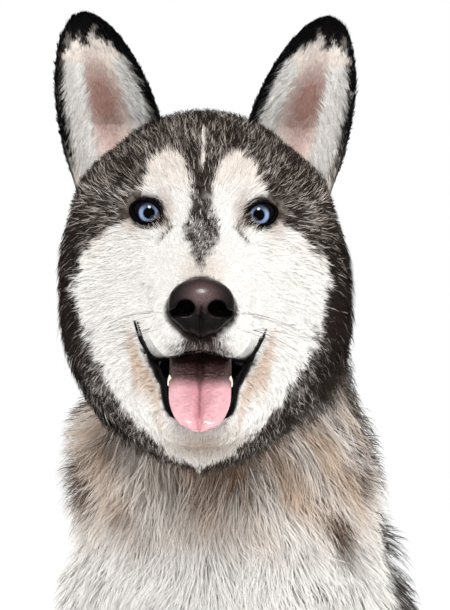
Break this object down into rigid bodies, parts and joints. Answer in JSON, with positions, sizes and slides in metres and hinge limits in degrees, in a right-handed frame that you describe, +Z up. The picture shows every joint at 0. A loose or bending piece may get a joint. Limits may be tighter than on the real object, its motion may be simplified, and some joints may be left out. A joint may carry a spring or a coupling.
{
  "type": "siberian husky",
  "caption": "Life-size still model of a sitting Siberian husky with upright ears, open mouth, tongue out and tail curled on the floor.",
  "frame": {"origin": "on the floor under the middle of the rump", "axes": "+Z up, the dog faces -Y, +X towards its left side"},
  "size_m": [0.446, 0.718, 0.7812],
  "materials": {
    "coat": "dense double coat: white face, chest and legs, dark grizzled cap, back and tail",
    "nose_skin": "damp, finely pebbled dark skin",
    "tongue": "wet pink skin with a middle groove",
    "eye": "clear domed eye, pale blue iris with a dark rim",
    "tooth": "smooth ivory enamel",
    "lip": "smooth black skin of lips, lids and pads",
    "claw": "dark horn, slightly shiny"
  },
  "bodies": {
    "root": {"head": "coat", "jaw": "coat", "nose": "nose_skin", "tongue": "tongue", "eye_left": "eye", "eye_right": "eye", "ear_left": "coat", "ear_right": "coat", "neck": "coat", "chest": "coat", "rump": "coat", "tail_base": "coat", "tail_brush": "coat", "forepaw_left": "coat", "forepaw_right": "coat", "foreleg_left": "coat", "foreleg_right": "coat", "hindpaw_left": "coat", "hindpaw_right": "coat", "hindleg_left": "coat", "hindleg_right": "coat"}
  },
  "joints": []
}
